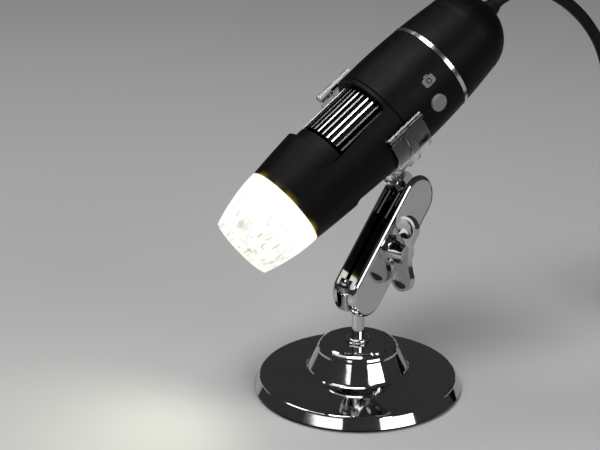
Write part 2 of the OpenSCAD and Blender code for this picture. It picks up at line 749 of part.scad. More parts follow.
// Open clip: band that follows the barrel, rib, beaded lips, boss and its gusset
module holder_clip() {
    wrap = 180 - clip_open;
    half_w = clip_w / 2;
    steps = 8;
    rib_z = clip_z - neck_z + 0.3 * rib_w;
    gusset = [[clip_out_r - clip_t / 2, 0], [boss_end - 0.5, 0], [boss_end - 0.5, 0.3 * boss_d],
        [clip_out_r + 0.7 * rib_h, rib_z], [clip_out_r - clip_t / 2, rib_z]];
    band = concat(
        [for (i = [0 : steps]) let (z = -half_w + clip_w * i / steps) [shell_r(clip_z + z) + clip_gap, z]],
        [[clip_out_r, half_w], [clip_out_r, -half_w]]);
    color("lightblue") holder_frame() difference() {
        union() {
            translate([0, 0, clip_z - neck_z]) rotate([0, 0, clip_turn]) {
                rotate([0, 0, -wrap]) rotate_extrude(angle = 2 * wrap) polygon(band);
                rotate([0, 0, -wrap]) rotate_extrude(angle = 2 * wrap)
                    translate([clip_out_r - 0.3, -rib_w / 2]) square([rib_h + 0.3, rib_w]);
                for (side = [-1, 1]) rotate([0, 0, side * wrap])
                    translate([bead_at, 0, -half_w]) cylinder(d = bead_d, h = clip_w);
            }
            translate([clip_in_r + clip_t / 2, 0, 0]) rotate([0, 90, 0])
                cylinder(d = boss_d, h = boss_end - clip_in_r - clip_t / 2);
            rotate([90, 0, 0]) linear_extrude(height = rib_w, center = true) polygon(gusset);
        }
        translate([boss_end - ball_pin_l - 0.3, 0, 0]) rotate([0, 90, 0])
            cylinder(r = ball_pin_r + run_gap, h = ball_pin_l + 1);
    }
}

// Clear nose with its spigot in the front shell
module nose_cone() {
    steps = 10;
    outer = [for (i = [0 : steps]) let (z = nose_l * i / steps) [nose_r(z), z]];
    inner = [for (i = [steps : -1 : 0]) let (z = nose_l * i / steps)
        [min(nose_r(z) - nose_wall, nose_bore_r), z]];
    color("white") scope_frame() turned(concat(outer,
        [[spigot_r, nose_l], [spigot_r, lamp_board_z], [nose_bore_r, lamp_board_z]], inner));
}

// Front shell with two finger windows, each a plain step and then the opening over the focus wheel
module front_shell() {
    color("black") scope_frame() difference() {
        turned(concat(outline(nose_l, split_z - seam, 20), [
            [shell_r(split_z) - seam, split_z],
            [chamber_r, split_z],
            [chamber_r, chamber_z],
            [shelf_r, chamber_z],
            [shelf_r, shelf_z],
            [front_bore_r, shelf_z],
            [front_bore_r, nose_l]]));
        difference() {
            for (side = [0, 1]) mirror([side, 0, 0]) finger_window();
            cylinder(r = wheel_r, h = chamber_z + 0.5);
        }
    }
}

// Opening on the +X side, from its edge toward the button round to the strip
module finger_window() {
    translate([window_strip / 2, 0, 0]) rotate([0, 90, 0]) linear_extrude(height = scope_d)
        translate([-window_z - window_l, -window_edge])
            rounded_square(window_l, window_edge + scope_d, window_round);
}

module rounded_square(w, h, r) {
    translate([r, 0]) square([w - 2 * r, h]);
    translate([0, r]) square([w, h - 2 * r]);
    for (x = [r, w - r]) for (y = [r, h - r]) translate([x, y]) circle(r = r, $fn = 32);
}

// Rear shell: wall that carries the guide tube, ledge for the sensor board, button hole
module rear_shell() {
    color("black") scope_frame() difference() {
        turned(concat([[shell_r(split_z) - seam, split_z]], outline(split_z + seam, trim_z, 14), [
            [rear_bore_r, trim_z],
            [rear_bore_r, ledge_z],
            [ledge_r, ledge_z],
            [ledge_r, guide_end],
            [guide_r + join_gap, guide_end],
            [guide_r + join_gap, plug_in_z],
            [chamber_r - join_gap, plug_in_z],
            [chamber_r - join_gap, split_z]]));
        translate([0, 0, button_z]) rotate([90, 0, 0]) cylinder(d = button_d + 2 * button_gap, h = scope_d);
        for (i = [0 : screw_count - 1]) rotate([0, 0, 360 * i / screw_count + 60])
            translate([(ledge_r + rear_bore_r) / 2, 0, ledge_z - 2.4]) cylinder(d = screw_d, h = 3);
    }
}

module trim_ring() {
    color("silver") scope_frame() turned([
        [rear_bore_r, trim_z],
        [shell_r(trim_z) + trim_proud, trim_z],
        [shell_r(trim_z + trim_w) + trim_proud, trim_z + trim_w],
        [rear_bore_r, trim_z + trim_w]]);
}

// Domed tail cap with a spigot through the trim ring
module tail_cap() {
    z0 = trim_z + trim_w;
    color("black") scope_frame() difference() {
        turned(concat(outline(z0, dome_z, 7),
            [for (i = [1 : 12]) let (z = dome_z + dome_l * sin(90 * i / 12)) [shell_r(z), z]],
            [for (i = [12 : -1 : 1]) let (z = dome_z + (tail_inside - dome_z) * sin(90 * i / 12))
                [(shell_r(dome_z) - rear_wall)
                    * sqrt(max(0, 1 - pow((z - dome_z) / (tail_inside - dome_z), 2))), z]],
            [[shell_r(dome_z) - rear_wall, dome_z],
             [rear_bore_r - rear_wall, z0],
             [rear_bore_r - rear_wall, trim_z - spigot_l],
             [rear_bore_r - join_gap, trim_z - spigot_l],
             [rear_bore_r - join_gap, z0]]));
        translate([0, 0, dome_z]) cylinder(r = relief_d / 2 + join_gap, h = 2 * dome_l);
    }
}

// Cord relief: bushing through the tail with a collar inside
module cord_relief() {
    inside_r = shell_r(dome_z) - rear_wall;
    seat = dome_z + (tail_inside - dome_z) * sqrt(1 - pow(relief_collar_r / inside_r, 2)) - 0.1;
    color("black") scope_frame() turned([
        [0, seat - 3],
        [relief_collar_r, seat - 3],
        [relief_collar_r, seat],
        [relief_d / 2, seat],
        [relief_d / 2, scope_l],
        [cord_r + 0.3, scope_l + relief_l],
        [0, scope_l + relief_l]]);
}

// Ribbed focus wheel with the cam sleeve inside
module focus_wheel() {
    root_r = wheel_r - rib_depth;
    step = 360 / rib_count;
    ribs = [for (i = [0 : rib_count - 1]) for (k = [[-0.5, root_r], [-0.28, root_r], [-0.12, wheel_r],
        [0.12, wheel_r], [0.28, root_r]]) [k[1] * cos(step * (i + k[0])), k[1] * sin(step * (i + k[0]))]];
    cam_out_r = cam_r + cam_wall;
    cam_angle = cam_half / lead;
    cam_l = lens_travel + 2 * cam_half;
    wedge = concat([[0, 0]], arc(0, 0, cam_out_r + 1, -cam_angle, cam_angle, 8));
    color("silver") scope_frame() difference() {
        union() {
            translate([0, 0, wheel_z]) linear_extrude(height = wheel_l) difference() {
                polygon(ribs);
                circle(r = root_r - wheel_rim);
            }
            translate([0, 0, wheel_z]) cylinder(r = root_r - wheel_rim + 0.5, h = 2.4);
            translate([0, 0, wheel_z]) cylinder(r = cam_out_r, h = wheel_l);
        }
        translate([0, 0, wheel_z - 1]) cylinder(r = cam_r, h = wheel_l + 2);
        translate([0, 0, pin_z - cam_l / 2]) rotate([0, 0, 90 - cam_l / lead / 2])
            linear_extrude(height = cam_l, twist = -cam_l / lead, slices = 36) polygon(wedge);
    }
}

// Fixed tube that guides the lens barrel, with a straight slot for the follower pin
module guide_tube() {
    slot_w = pin_d + 2 * pin_gap;
    slot_l = lens_travel + pin_d + 2 * pin_gap;
    color("dimgray") scope_frame() difference() {
        union() {
            translate([0, 0, guide_flange_z]) cylinder(r = guide_r, h = guide_end - guide_flange_z);
            translate([0, 0, guide_flange_z])
                cylinder(r = front_bore_r - join_gap, h = shelf_z - guide_flange_z);
        }
        translate([0, 0, guide_flange_z - 1])
            cylinder(r = barrel_r0 + run_gap, h = guide_end - guide_flange_z + 2);
        translate([-slot_w / 2, 0, pin_z - slot_l / 2]) cube([slot_w, guide_r + 1, slot_l]);
    }
}

// Sliding lens barrel
module lens_barrel() {
    color("black") scope_frame() difference() {
        translate([0, 0, barrel_front]) cylinder(r = barrel_r0, h = pin_z + 3 - barrel_front);
        translate([0, 0, barrel_front - 1])
            cylinder(r = lens_d / 2 + join_gap, h = lens_front + lens_t - barrel_front + 1);
        translate([0, 0, barrel_front]) cylinder(r = lens_d / 2 - 1.2, h = pin_z);
        translate([0, 0, pin_z]) rotate([-90, 0, 0]) cylinder(r = pin_d / 2 + join_gap, h = barrel_d);
    }
}

module follower_pin() {
    color("silver") scope_frame() translate([0, lens_d / 2 - 1, pin_z]) rotate([-90, 0, 0])
        cylinder(d = pin_d, h = pin_out_r - lens_d / 2 + 1);
}

// Objective lens: flat back on the barrel step, domed front
module objective_lens() {
    color("lightblue") scope_frame() translate([0, 0, lens_front]) intersection() {
        cylinder(d = lens_d, h = lens_t);
        translate([0, 0, lens_curve_r]) sphere(r = lens_curve_r, $fn = 96);
    }
}

// Ring that bears on the dome of the lens with its inner edge
module lens_retainer() {
    bearing = lens_front + lens_curve_r - sqrt(lens_curve_r * lens_curve_r - retainer_r * retainer_r);
    color("dimgray") scope_frame() translate([0, 0, bearing - retainer_t]) difference() {
        cylinder(d = lens_d, h = retainer_t);
        translate([0, 0, -1]) cylinder(r = retainer_r, h = retainer_t + 2);
    }
}

module lamp_board() {
    color("green") scope_frame() translate([0, 0, lamp_board_z]) difference() {
        cylinder(r = front_bore_r - join_gap, h = board_t);
        translate([0, 0, -1]) cylinder(r = barrel_r0 + 0.7, h = board_t + 2);
    }
}

module lamps() {
    color("white") scope_frame() for (i = [0 : led_count - 1]) rotate([0, 0, 360 * (i + 0.5) / led_count])
        translate([led_at_r, 0, lamp_board_z]) rotate([180, 0, 0]) union() {
            cylinder(r = led_d / 2 + led_collar, h = 0.9, $fn = 32);
            cylinder(d = led_d, h = led_l - led_d / 2, $fn = 32);
            translate([0, 0, led_l - led_d / 2]) sphere(d = led_d, $fn = 32);
        }
}

module sensor_board() {
    color("green") scope_frame() translate([0, 0, ledge_z]) difference() {
        cylinder(r = board_r, h = board_t);
        for (i = [0 : screw_count - 1]) rotate([0, 0, 360 * i / screw_count + 60])
            translate([(ledge_r + rear_bore_r) / 2, 0, -1])
                cylinder(d = screw_d + 2 * join_gap, h = board_t + 2);
    }
}

module image_sensor() {
    color("dimgray") scope_frame() translate([-sensor_w / 2, -sensor_w / 2, ledge_z - sensor_h])
        cube([sensor_w, sensor_w, sensor_h]);
}

module controller_chip() {
    color("black") scope_frame() translate([-chip_w / 2, socket_y - chip_room - chip_w, board_back])
        cube([chip_w, chip_w, chip_h]);
}

module board_screws() {
    color("silver") scope_frame() for (i = [0 : screw_count - 1]) rotate([0, 0, 360 * i / screw_count + 60])
        translate([(ledge_r + rear_bore_r) / 2, 0, 0]) union() {
            translate([0, 0, ledge_z - 2.2]) cylinder(d = screw_d, h = 2.2 + board_t + eps, $fn = 32);
            translate([0, 0, board_back]) cylinder(d = screw_d + 1, h = 0.9, $fn = 32);
        }
}

module cord_socket() {
    color("ivory") scope_frame() translate([-socket_w / 2, socket_y, board_back])
        cube([socket_w, socket_d, socket_h]);
}

// Switch board standing on the sensor board, facing the button
module switch_board() {
    color("green") scope_frame() translate([-switch_board_w / 2, switch_board_y, board_back])
        cube([switch_board_w, board_t, button_z + switch_board_top - board_back]);
}

module snap_switch() {
    color("dimgray") scope_frame() difference() {
        translate([-switch_w / 2, switch_face, button_z - switch_w / 2])
            cube([switch_w, switch_h, switch_w]);
        translate([0, switch_board_y - 0.8, button_z]) rotate([90, 0, 0])
            cylinder(r = plunger_d / 2 + run_gap, h = switch_h);
    }
}

// Switch plunger that moves with the button
module switch_plunger() {
    depth = switch_board_y - 0.8 - button_travel - 0.3;
    color("black") scope_frame() translate([0, depth, button_z]) rotate([90, 0, 0])
        cylinder(d = plunger_d, h = depth - button_in);
}

// Snap button with the collar that holds it inside the shell
module snap_button() {
    face = shell_r(button_z) + button_proud;
    color("gray") scope_frame() translate([0, button_in, button_z]) rotate([90, 0, 0]) turned(concat(
        [[0, 0], [collar_r, 0], [collar_r, button_collar], [button_d / 2, button_collar]],
        arc(button_d / 2 - 0.4, face + button_in - 0.4, 0.4, 0, 90, 4), [[0, face + button_in]]));
}

module cord_free() {
    color("black") tube(free_path, cord_r, 8);
}

module cord_coil() {
    color("black") tube(coil_path, cord_r, 6);
}

// Strap round the bundle of turns
module coil_tie() {
    angle = end_angle + 90;
    bundle_in = coil_inner_r - cord_r;
    low_r = sqrt(bundle_in * bundle_in - tie_w * tie_w / 4) - 0.3;
    high_r = coil_outer_r + cord_r + 0.3;
    top = coil_z + (coil_layers - 1) * coil_rise + cord_r + 0.2;
    color("black") translate([coil_at[0], coil_at[1], 0]) rotate([0, 0, angle]) difference() {
        translate([low_r - tie_t, -tie_w / 2, 0]) cube([high_r - low_r + 2 * tie_t, tie_w, top + tie_t]);
        translate([low_r, -tie_w, tie_t]) cube([high_r - low_r, 2 * tie_w, top - tie_t]);
    }
}

// X along the plug, away from the cord
module plug_frame() {
    translate(plug_at) rotate([0, 0, end_angle + 180]) children();
}

module plug_grip() {
    r = 2;
    color("black") plug_frame() difference() {
        rotate([0, 90, 0]) linear_extrude(height = grip_l)
            translate([-grip_h / 2, -grip_w / 2]) rounded_square(grip_h, grip_w, r);
        translate([grip_l - 6, -plug_w / 2 - join_gap, -plug_h / 2 - join_gap])
            cube([7, plug_w + 2 * join_gap, plug_h + 2 * join_gap]);
        for (side = [-1, 1]) for (x = [5 : 2.4 : 13])
            translate([x, side * (grip_w / 2 + 0.1), 0]) cube([1, 1.2, 2 * grip_h], center = true);
    }
}

// Folded sheet shell with two latch windows on each broad face
module plug_shell() {
    start = grip_l - 6;
    color("silver") plug_frame() translate([start, 0, 0]) difference() {
        translate([0, -plug_w / 2, -plug_h / 2]) cube([plug_l + 6, plug_w, plug_h]);
        translate([-1, -plug_w / 2 + plug_wall, -plug_h / 2 + plug_wall])
            cube([plug_l + 8, plug_w - 2 * plug_wall, plug_h - 2 * plug_wall]);
        for (y = [-3, 3]) translate([6 + plug_l - 5.2, y, 0]) cube([2.5, 2.5, 2 * plug_h], center = true);
    }
}

module plug_tongue() {
    color("white") plug_frame() translate([grip_l - 6, -plug_w / 2 + plug_wall, -plug_h / 2 + plug_wall])
        cube([plug_l + 5.5, plug_w - 2 * plug_wall, 1.8]);
}

module plug_contacts() {
    top = -plug_h / 2 + plug_wall + 1.8;
    color("gold") plug_frame() for (y = [-contact_out, -contact_mid, contact_mid, contact_out])
        translate([grip_l + 1, y - contact_w / 2, top]) cube([plug_l - 3, contact_w, 0.2]);
}

base_cover();
base_ballast();
base_pad();
base_post();
post_washer();
post_nut();
post_ball();
clamp_plate_front();
clamp_plate_rear();
clamp_bolt();
clamp_washer();
wing_nut();
holder_ball();
holder_clip();
nose_cone();
front_shell();
rear_shell();
trim_ring();
tail_cap();
cord_relief();
focus_wheel();
guide_tube();
lens_barrel();
follower_pin();
objective_lens();
lens_retainer();
lamp_board();
lamps();
sensor_board();
image_sensor();
controller_chip();
board_screws();
cord_socket();
switch_board();
snap_switch();
switch_plunger();
snap_button();
cord_free();
cord_coil();
coil_tie();
plug_grip();
plug_shell();
plug_tongue();
plug_contacts();
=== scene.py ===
"""Looks of a hand-held digital microscope in the clip of its chrome stand.

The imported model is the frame. This script gives every node its material, lays the cord and its strap,
prints the camera sign, adds the round collar of the post, lights the nose and sets the camera of the
photograph. Constant lengths are metres unless their name ends in _MM. The sign, collar, strap and cord
are laid out in millimetres.
"""

import json
import math

import bmesh
import bpy
from mathutils import Matrix, Vector


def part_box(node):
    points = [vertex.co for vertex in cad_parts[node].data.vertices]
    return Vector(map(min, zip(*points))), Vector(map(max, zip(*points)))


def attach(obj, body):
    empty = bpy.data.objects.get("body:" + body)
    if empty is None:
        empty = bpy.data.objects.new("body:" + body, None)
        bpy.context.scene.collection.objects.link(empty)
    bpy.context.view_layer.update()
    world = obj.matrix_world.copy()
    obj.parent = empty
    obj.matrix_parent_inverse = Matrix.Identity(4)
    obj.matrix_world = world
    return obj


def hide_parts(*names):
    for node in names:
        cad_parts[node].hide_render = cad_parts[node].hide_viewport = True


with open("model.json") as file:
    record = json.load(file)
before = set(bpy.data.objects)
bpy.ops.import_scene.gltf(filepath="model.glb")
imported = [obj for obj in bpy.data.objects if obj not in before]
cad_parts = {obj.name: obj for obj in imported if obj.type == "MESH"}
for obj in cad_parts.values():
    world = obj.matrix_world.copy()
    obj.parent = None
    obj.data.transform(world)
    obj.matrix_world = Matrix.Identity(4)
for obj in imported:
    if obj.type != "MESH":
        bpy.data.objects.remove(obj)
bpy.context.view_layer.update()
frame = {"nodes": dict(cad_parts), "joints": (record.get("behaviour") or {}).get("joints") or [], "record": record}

MM = 0.001

# Camera of the photograph
CAMERA_AZIMUTH = math.radians(-46.3)
CAMERA_ELEVATION = math.radians(20.66)
CAMERA_DISTANCE = 0.5069
CAMERA_TARGET = Vector((-0.01302, 0.01362, 0.0563))
CAMERA_LENS_MM = 96
SENSOR_WIDTH_MM = 36
CLIP_START = 0.01

# Microscope, from the same sizes as the solids
SCOPE_YAW = math.radians(-14.7)
SCOPE_PITCH = math.radians(34.4)
CLIP_ROLL = math.radians(-1.2)
SCOPE_TURN = math.radians(4)
SCOPE_LENGTH_MM = 112.1
NECK_Z_MM = 54.1
RELIEF_LENGTH_MM = 3
NOSE_LENGTH_MM = 18.6
SCOPE_R_MM = 16.5
BELLY_Z_MM = 67.1
CROWN_REAR_MM = 240
WHEEL_R_MM = 13.7
RIB_DEPTH_MM = 0.7

# Degrees between the points of a rounded corner
ARC_STEP = 15

# Collar at the foot of the post
POST_R_MM = 2.05
COLLAR_R_MM = 3.8
COLLAR_H_MM = 1.4
COLLAR_ROUND_MM = 0.8
COLLAR_SIDES = 64

# Camera sign printed beside the button; FINDER_FOOT_MM and FINDER_TOP_MM are half widths
SIGN_Z_MM = 75.5
SIGN_TURN = math.radians(27)
SIGN_W_MM = 4.4
SIGN_H_MM = 3.0
SIGN_CORNER_POWER = 5
SIGN_LENS_MM = 0.95
SIGN_GLASS_SHARE = 0.62
SIGN_SIDES = 48
SIGN_LIFT_MM = 0.03
FINDER_GAP_MM = 0.12
FINDER_H_MM = 0.5
FINDER_FOOT_MM = 0.9
FINDER_TOP_MM = 0.6

# Cord, put away in layers that spiral in and out, with CLIMB_TURN of a turn up to the next layer
CORD_D_MM = 4
CORD_ROUNDNESS = 5
COIL_AT_MM = (129, -49.5)
COIL_START = math.radians(80)
COIL_TURNS = 1.6
COIL_LAYERS = 4
CLIMB_TURN = 0.5
COIL_TOTAL = COIL_LAYERS * COIL_TURNS + (COIL_LAYERS - 1) * CLIMB_TURN
COIL_END = COIL_START - 2 * math.pi * COIL_TOTAL
COIL_PITCH_MM = 5.3
COIL_RISE_MM = 4.5
COIL_INNER_R_MM = 17.5
COIL_OUTER_R_MM = COIL_INNER_R_MM + COIL_TURNS * COIL_PITCH_MM
COIL_FOOT_MM = 3
COIL_LEAD_MM = 4.8
COIL_STEPS = 48
LEAD_R_MM = 14
LEAD_STEPS = 16
PLUG_RISE_MM = 6.1
ROUTE_STEPS = 5
ROUTE_MIDDLE_MM = [
    (62.5, -9.5, 122.4),
    (68, -11, 123),
    (74, -12.5, 122.2),
    (80, -14, 119.6),
    (87, -16, 115),
    (94, -18, 108.5),
    (100.5, -19.5, 100),
    (105, -20.5, 90),
    (108.5, -21.5, 78),
    (111, -22.5, 64),
    (112, -23, 50),
    (112, -23, 36),
    (112, -23, 23),
    (113, -22.5, 13),
    (116, -22, 7.5),
    (121, -22, 4),
]

# Strap that ties the coil; the tail steps out over the strap's start, then runs up along it
TIE_W_MM = 9
TIE_T_MM = 0.8
TIE_CORNER_MM = 2
TIE_SIDE_GAP_MM = 0.3
TIE_TOP_GAP_MM = 0.2
TIE_LAP_MM = 1
TIE_TAIL_MM = 11
TIE_STEP_MM = TIE_TAIL_MM / 6
TIE_STEP_SHARES = (0.5, 0.9)
TIE_TAIL_SHARES = (0.3, 0.5, 0.7, 0.9, 1.0)

# Section of the strap: points across a face and on an edge, as shares of half its width and thickness
TIE_FACE_SHARES = (0.96, 0.5, 0, -0.5, -0.96)
TIE_EDGE_SHARE = 0.5

# Floor and world
FLOOR_SIZE = 6
FLOOR_TONE = 0.50
FLOOR_ROUGHNESS = 0.75
WORLD_TONE = 0.045

# Soft boxes: name, place, size and power in watts
LIGHT_TARGET = Vector((0, 0, 0.06))
SOFT_BOXES = [
    ("overhead_box", (-0.25, -0.05, 0.95), (0.50, 0.42), 5.7),
    ("front_box", (-0.03, -0.92, 0.46), (0.62, 0.32), 3.1),
    ("side_box", (-0.81, -0.04, 0.60), (0.70, 0.30), 1.2),
    ("rear_fill", (-0.17, 0.64, 1.0), (0.40, 0.30), 2.1),
]

# Light that falls out of the nose
BEAM_POWER = 0.14
BEAM_COLOUR = (1.0, 1.0, 0.76)
BEAM_ANGLE = math.radians(125)
BEAM_BLEND = 1.0
BEAM_RADIUS = 0.012
BEAM_BEFORE_RIM = 0.002


def scope_matrix():
    """Frame of the microscope: Z from nose rim to tail, button on -Y, windows on +X and -X."""
    joints = {joint["name"]: joint for joint in frame["joints"]}
    neck_at = Vector(joints["scope_roll"]["pos_m"])
    turn = Matrix.Rotation(SCOPE_YAW, 4, "Z") @ Matrix.Rotation(math.pi / 2 - SCOPE_PITCH, 4, "Y")
    roll = Matrix.Rotation(CLIP_ROLL + SCOPE_TURN, 4, "Z")
    return Matrix.Translation(neck_at) @ turn @ roll @ Matrix.Translation((0, 0, -NECK_Z_MM * MM))


def add_object(name, data):
    """New object in the scene."""
    thing = bpy.data.objects.new(name, data)
    bpy.context.scene.collection.objects.link(thing)
    return thing


def aim(thing, place, direction):
    """Stand a camera or light at a place, looking in a direction."""
    thing.location = place
    thing.rotation_mode = "QUATERNION"
    thing.rotation_quaternion = direction.to_track_quat("-Z", "Y")


def make_camera():
    data = bpy.data.cameras.new("camera")
    data.lens = CAMERA_LENS_MM
    data.sensor_width = SENSOR_WIDTH_MM
    data.clip_start = CLIP_START
    camera = add_object("camera", data)
    back = Vector((
        math.sin(CAMERA_AZIMUTH) * math.cos(CAMERA_ELEVATION),
        -math.cos(CAMERA_AZIMUTH) * math.cos(CAMERA_ELEVATION),
        math.sin(CAMERA_ELEVATION),
    ))
    aim(camera, CAMERA_TARGET + back * CAMERA_DISTANCE, -back)
    bpy.context.scene.camera = camera


# Tones and values of the materials


def grey(value):
    return (value, value, value)


WHITE = grey(1)
PLASTIC_IOR = 1.46
BUMP_STRENGTH = 0.6

# Middle stretch of a noise that is spread over a range of roughness or between two tones
NOISE_RANGE = (0.3, 0.7)
TONE_RANGE = (0.35, 0.65)

# How much larger the clouds of tone are than the grain
CLOUD_RATIO = 8

# Clear plastic: noise scales of its roughness and of its flow waves
CLEAR_CLOUD = 90
CLEAR_WAVES = 160
CLEAR_WAVE_DETAIL = 2
CLEAR_DEPTH_MM = 0.04

# Lit nose, a painted glow: tones from the rim to the seam
NOSE_BASE = (0.55, 0.56, 0.53)
NOSE_TRANSMISSION = 0.35
NOSE_ROUGHNESS = 0.25
NOSE_GLOW = 0.66
NOSE_WHITE = (1.0, 1.0, 0.95)
NOSE_TONES = [(0.0, (0.84, 0.86, 0.74)), (0.25, NOSE_WHITE), (0.93, NOSE_WHITE), (1.0, (1.0, 0.93, 0.66))]

# Darker marks painted into the nose's glow, along the axis, round the rim and cloudy: noise scale, stretch, ramp
# from tone to white
MARK_DETAIL = 3
DASH_TONE = (0.20, 0.21, 0.17)
CLOUD_TONE = (0.42, 0.43, 0.38)
NOSE_MARKS = [
    (900, (1.0, 1.0, 0.16), (0.36, 0.44), DASH_TONE),
    (620, (0.3, 0.3, 1.4), (0.30, 0.39), DASH_TONE),
    (300, (1.0, 1.0, 0.5), (0.30, 0.46), CLOUD_TONE),
]
MARK_DEPTH_MM = 0.2

# The marks fade from the rim to the seam: stretch of the nose, and strength at its ends
FADE_STRETCH = (0.3, 0.95)
FADE_STRENGTH = (0.95, 0.1)

# Painted glow of the light that leaks through the front shell's edge at the nose
SEAM_GLOW_MM = 1.9
SEAM_GLOW = 0.5
SEAM_TONES = [(0.0, (0.60, 0.48, 0.08)), (0.35, (0.12, 0.09, 0.006)), (1.0, grey(0))]
SPOT_SCALE = 170
SPOT_TONES = [(0.5, grey(0.08)), (0.66, WHITE)]

# Painted shade in the wheel's grooves, from their bottom to the rib tips
GROOVE_SHADE_TONES = [(0.90, grey(0.006)), (0.99, WHITE)]

# Lamps behind the nose
LAMP_TONES = ((1.0, 0.93, 0.72), (1.0, 1.0, 0.95))
LAMP_GLOW = 3.0
LAMP_ROUGHNESS = 0.2
LAMP_CLOUD = 400

# Black plastic of the body and chrome of the ribbed wheel
BODY = dict(
    dark=grey(0.0014), light=grey(0.0030), roughness=(0.44, 0.54), grain=2200, depth_mm=0.01,
    Specular_IOR_Level=0.10)
RIBBED = dict(
    dark=(0.48, 0.48, 0.49), light=grey(0.56), roughness=(0.22, 0.28), grain=1200, depth_mm=0.004,
    Metallic=1.0)

# Plain finishes: material name, then tones, roughness, noise scale and depth of the grain, other sockets
SURFACES = {
    "chrome": ("chrome", dict(
        dark=(0.53, 0.53, 0.54), light=(0.59, 0.59, 0.60), roughness=(0.03, 0.08), grain=900, depth_mm=0.004,
        Metallic=1.0)),
    "satin_chrome": ("satin_chrome", dict(
        dark=grey(0.62), light=grey(0.70), roughness=(0.14, 0.20), grain=1200, depth_mm=0.006, Metallic=1.0)),
    "ballast": ("ballast", dict(
        dark=grey(0.10), light=(0.18, 0.17, 0.16), roughness=(0.6, 0.8), grain=700, depth_mm=0.15,
        Metallic=0.6)),
    "pad": ("foam_pad", dict(
        dark=grey(0.010), light=grey(0.022), roughness=(0.8, 0.95), grain=2500, depth_mm=0.2)),
    "steel": ("steel", dict(
        dark=(0.42, 0.42, 0.43), light=(0.55, 0.55, 0.56), roughness=(0.2, 0.35), grain=1500, depth_mm=0.01,
        Metallic=1.0)),
    "black_gloss": ("black_body", BODY),
    "black_soft": ("black_soft", dict(
        dark=grey(0.003), light=grey(0.006), roughness=(0.46, 0.58), grain=2600, depth_mm=0.03,
        Specular_IOR_Level=0.15)),
    "black_matte": ("black_matte", dict(
        dark=grey(0.006), light=grey(0.012), roughness=(0.5, 0.65), grain=1800, depth_mm=0.03)),
    "strap": ("strap_fabric", dict(
        dark=(0.008, 0.008, 0.009), light=(0.022, 0.022, 0.024), roughness=(0.75, 0.95), grain=3000,
        depth_mm=0.25, Sheen_Weight=0.3, Sheen_Roughness=0.5)),
    "board": ("board", dict(
        dark=(0.010, 0.060, 0.022), light=(0.018, 0.090, 0.034), roughness=(0.3, 0.45), grain=1400,
        depth_mm=0.02)),
    "sensor": ("sensor", dict(
        dark=(0.02, 0.02, 0.024), light=(0.04, 0.035, 0.05), roughness=(0.15, 0.3), grain=1600,
        depth_mm=0.01)),
    "grey_plastic": ("grey_plastic", dict(
        dark=(0.165, 0.175, 0.18), light=(0.205, 0.215, 0.22), roughness=(0.38, 0.5), grain=2200,
        depth_mm=0.01)),
    "white_plastic": ("white_plastic", dict(
        dark=(0.66, 0.65, 0.60), light=(0.74, 0.73, 0.68), roughness=(0.35, 0.5), grain=1500,
        depth_mm=0.01)),
    "brass": ("brass", dict(
        dark=(0.70, 0.48, 0.16), light=(0.80, 0.58, 0.24), roughness=(0.2, 0.3), grain=1500, depth_mm=0.01,
        Metallic=1.0)),
    "print": ("grey_print", dict(
        dark=(0.125, 0.13, 0.13), light=(0.165, 0.17, 0.17), roughness=(0.5, 0.6), grain=2600,
        depth_mm=0.004)),
}

# Clear finishes: tint and range of roughness
CLEAR_SURFACES = {
    "clear_plastic": ((0.97, 0.98, 0.98), (0.0, 0.02)),
    "lens_glass": ((0.92, 0.95, 1.0), (0.0, 0.01)),
}

# Nodes whose finish differs from the others of their slot
FINISHES = {"trim_ring": "satin_chrome", "focus_wheel": "ribbed_chrome", "front_shell": "front_body"}


# Shader nodes


def new_material(name):
    """New material, with its node tree and its shader."""
    material = bpy.data.materials.new(name)
    material.use_nodes = True
    return material, material.node_tree, material.node_tree.nodes["Principled BSDF"]


def set_sockets(shader, **values):
    """Set sockets of a shader by their names, with _ for a space."""
    for name, value in values.items():
        shader.inputs[name.replace("_", " ")].default_value = value


def noise(tree, scale, detail=4.0, vector=None):
    """Noise value, in object space unless another vector is given."""
    texture = tree.nodes.new("ShaderNodeTexNoise")
    texture.inputs["Scale"].default_value = scale
    texture.inputs["Detail"].default_value = detail
    if vector is None:
        vector = tree.nodes.new("ShaderNodeTexCoord").outputs["Object"]
    tree.links.new(vector, texture.inputs["Vector"])
    return texture.outputs["Fac"]


def map_range(tree, source, given, wanted=(0, 1)):
    """Map a value from one range onto another."""
    node = tree.nodes.new("ShaderNodeMapRange")
    for socket, value in zip(("From Min", "From Max", "To Min", "To Max"), (*given, *wanted)):
        node.inputs[socket].default_value = value
    tree.links.new(source, node.inputs["Value"])
    return node.outputs["Result"]


def ramp(tree, source, stops):
    """Colour ramp through (position, colour) stops."""
    node = tree.nodes.new("ShaderNodeValToRGB")
    elements = node.color_ramp.elements
    while len(elements) < len(stops):
        elements.new(0.5)
    for element, (position, colour) in zip(elements, stops):
        element.position = position
        element.color = (*colour, 1)
    tree.links.new(source, node.inputs["Fac"])
    return node.outputs["Color"]


def shade(tree, source, dark, light):
    """Colour that wanders between two tones."""
    return ramp(tree, source, list(zip(TONE_RANGE, (dark, light))))


def multiply(tree, a, b, factor=None):
    """Product of two colours, in full or mixed in by a factor."""
    mix = tree.nodes.new("ShaderNodeMix")
    mix.data_type = "RGBA"
    mix.blend_type = "MULTIPLY"
    if factor is None:
        mix.inputs["Factor"].default_value = 1.0
    else:
        tree.links.new(factor, mix.inputs["Factor"])
    tree.links.new(a, mix.inputs["A"])
    tree.links.new(b, mix.inputs["B"])
    return mix.outputs["Result"]


